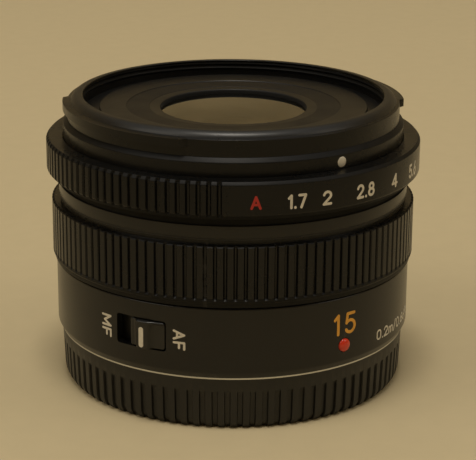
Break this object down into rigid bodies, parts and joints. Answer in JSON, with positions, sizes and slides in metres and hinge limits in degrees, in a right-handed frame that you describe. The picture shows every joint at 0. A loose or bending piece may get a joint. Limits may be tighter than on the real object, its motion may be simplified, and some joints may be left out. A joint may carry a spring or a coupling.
{
  "type": "prime camera lens",
  "caption": "Compact wide-angle prime lens with aperture ring, focus ring, focus mode switch, iris and focusing group, standing on its ribbed rear cap.",
  "frame": {"origin": "centre of the rear cap's flat bottom, where the lens stands on the table", "axes": "+Z is the optical axis, from the rear cap to the front glass; -Y is the index line with the red mount bead, the white aperture index and the focal length; +X is to the right of the index line, seen from outside with the front up"},
  "size_m": [0.0574, 0.0574, 0.0444],
  "materials": {
    "cap_plastic": "fine matt grain, moulded black",
    "mount_metal": "turned and lightly brushed, bright",
    "screw_steel": "small machined fasteners, plain",
    "bead_red": "glossy, domed",
    "baffle_black": "flocked matt black",
    "contact_plastic": "smooth moulded",
    "contact_gold": "gold plated, polished",
    "barrel_black": "satin black anodised aluminium, fine turned grain",
    "chassis_metal": "dark anodised, machined",
    "board_green": "solder mask, satin",
    "flex_amber": "thin film, glossy",
    "switch_black": "satin moulded, white index line",
    "ring_black": "satin black anodised, straight flutes",
    "comb_metal": "etched thin sheet",
    "washer_white": "low-friction sheet, waxy black",
    "spring_steel": "drawn wire and polished ball",
    "name_black": "satin black with fine concentric turning marks",
    "cell_black": "black anodised, machined",
    "front_glass": "multicoated, faint green and violet reflections",
    "inner_glass": "multicoated",
    "blade_black": "dry-film black on thin steel",
    "motor_steel": "drawn can, satin",
    "gear_brass": "cut brass",
    "rod_steel": "ground and polished"
  },
  "bodies": {
    "barrel": {"mount_plate": "mount_metal", "mount_screws": "screw_steel", "mount_index_bead": "bead_red", "rear_baffle": "baffle_black", "contact_block": "contact_plastic", "contact_pins": "contact_gold", "main_barrel": "barrel_black", "chassis": "chassis_metal", "circuit_board": "board_green", "flex_strip": "flex_amber", "switch_base": "contact_plastic", "focus_gates": "contact_plastic", "slip_washer": "washer_white", "fixed_band": "barrel_black", "click_ball": "spring_steel", "click_spring": "spring_steel", "aperture_code_strip": "flex_amber", "barrel_set_screws": "screw_steel", "front_barrel": "barrel_black", "name_ring": "name_black", "front_cell": "cell_black", "front_retaining_ring": "cell_black", "second_retaining_ring": "cell_black", "front_spacer": "cell_black", "front_element": "front_glass", "second_element": "inner_glass", "third_element": "inner_glass", "iris_base": "cell_black", "iris_cover": "cell_black", "iris_motor": "motor_steel", "middle_cell": "cell_black", "pair_retaining_ring": "cell_black", "pair_front_element": "inner_glass", "pair_rear_element": "inner_glass", "focus_guide_rods": "rod_steel", "focus_motor": "motor_steel", "rear_cell": "cell_black", "rear_front_element": "inner_glass", "rear_middle_element": "inner_glass", "last_element": "inner_glass", "rear_retaining_ring": "cell_black"},
    "rear_cap": {"rear_cap": "cap_plastic"},
    "aperture_ring": {"aperture_ring": "ring_black", "aperture_wiper": "contact_gold"},
    "focus_ring": {"focus_ring": "ring_black", "focus_comb": "comb_metal"},
    "switch_knob": {"switch_knob": "switch_black"},
    "iris_rotor": {"iris_rotor": "contact_plastic"},
    "iris_pinion": {"iris_pinion": "gear_brass"},
    "focus_group": {"focus_cell": "contact_plastic", "focus_element": "inner_glass", "focus_nut": "gear_brass"},
    "focus_lead_screw": {"focus_lead_screw": "rod_steel"},
    "iris_blade_1": {"iris_blade_1": "blade_black"},
    "iris_blade_2": {"iris_blade_2": "blade_black"},
    "iris_blade_3": {"iris_blade_3": "blade_black"},
    "iris_blade_4": {"iris_blade_4": "blade_black"},
    "iris_blade_5": {"iris_blade_5": "blade_black"},
    "iris_blade_6": {"iris_blade_6": "blade_black"},
    "iris_blade_7": {"iris_blade_7": "blade_black"}
  },
  "joints": [
    {"name": "rear_cap_twist", "type": "hinge", "parent": "barrel", "child": "rear_cap", "pos_m": [0, 0, 0.004], "axis": [0, 0, 1], "range_deg": [-55, 0]},
    {"name": "aperture_ring_turn", "type": "hinge", "parent": "barrel", "child": "aperture_ring", "pos_m": [0, 0, 0.0354], "axis": [0, 0, 1], "range_deg": [-71, 30.5]},
    {"name": "focus_ring_turn", "type": "hinge", "parent": "barrel", "child": "focus_ring", "pos_m": [0, 0, 0.0242], "axis": [0, 0, 1], "continuous": true},
    {"name": "focus_mode_switch", "type": "hinge", "parent": "barrel", "child": "switch_knob", "pos_m": [0, 0, 0.01435], "axis": [0, 0, 1], "range_deg": [-4.8, 0]},
    {"name": "iris_rotor_turn", "type": "hinge", "parent": "barrel", "child": "iris_rotor", "pos_m": [0, 0, 0.0262], "axis": [0, 0, 1], "range_deg": [-31.25, 0]},
    {"name": "iris_pinion_spin", "type": "hinge", "parent": "barrel", "child": "iris_pinion", "pos_m": [0.0084, 0.01455, 0.0262], "axis": [0, 0, 1], "range_deg": [0, 218.8]},
    {"name": "focus_slide", "type": "slide", "parent": "barrel", "child": "focus_group", "axis": [0, 0, 1], "range_m": [-0.0012, 0.0012]},
    {"name": "focus_screw_spin", "type": "hinge", "parent": "barrel", "child": "focus_lead_screw", "pos_m": [-0.01429, 0.00825, 0.015], "axis": [0, 0, 1], "range_deg": [-432.1, 432.1]},
    {"name": "iris_blade_1_swing", "type": "hinge", "parent": "barrel", "child": "iris_blade_1", "pos_m": [0.0124, 0, 0.0252], "axis": [0, 0, 1], "range_deg": [0, 25]},
    {"name": "iris_blade_2_swing", "type": "hinge", "parent": "barrel", "child": "iris_blade_2", "pos_m": [0.00773, 0.00969, 0.0252], "axis": [0, 0, 1], "range_deg": [0, 25]},
    {"name": "iris_blade_3_swing", "type": "hinge", "parent": "barrel", "child": "iris_blade_3", "pos_m": [-0.00276, 0.01209, 0.0252], "axis": [0, 0, 1], "range_deg": [0, 25]},
    {"name": "iris_blade_4_swing", "type": "hinge", "parent": "barrel", "child": "iris_blade_4", "pos_m": [-0.01117, 0.00538, 0.0252], "axis": [0, 0, 1], "range_deg": [0, 25]},
    {"name": "iris_blade_5_swing", "type": "hinge", "parent": "barrel", "child": "iris_blade_5", "pos_m": [-0.01117, -0.00538, 0.0252], "axis": [0, 0, 1], "range_deg": [0, 25]},
    {"name": "iris_blade_6_swing", "type": "hinge", "parent": "barrel", "child": "iris_blade_6", "pos_m": [-0.00276, -0.01209, 0.0252], "axis": [0, 0, 1], "range_deg": [0, 25]},
    {"name": "iris_blade_7_swing", "type": "hinge", "parent": "barrel", "child": "iris_blade_7", "pos_m": [0.00773, -0.00969, 0.0252], "axis": [0, 0, 1], "range_deg": [0, 25]}
  ],
  "couplings": [
    {"joint": "iris_pinion_spin", "follows": "iris_rotor_turn", "ratio": -7},
    {"joint": "focus_screw_spin", "follows": "focus_slide", "rad_per_m": -6283.2},
    {"joint": "iris_blade_1_swing", "follows": "iris_rotor_turn", "ratio": -0.8},
    {"joint": "iris_blade_2_swing", "follows": "iris_rotor_turn", "ratio": -0.8},
    {"joint": "iris_blade_3_swing", "follows": "iris_rotor_turn", "ratio": -0.8},
    {"joint": "iris_blade_4_swing", "follows": "iris_rotor_turn", "ratio": -0.8},
    {"joint": "iris_blade_5_swing", "follows": "iris_rotor_turn", "ratio": -0.8},
    {"joint": "iris_blade_6_swing", "follows": "iris_rotor_turn", "ratio": -0.8},
    {"joint": "iris_blade_7_swing", "follows": "iris_rotor_turn", "ratio": -0.8}
  ]
}
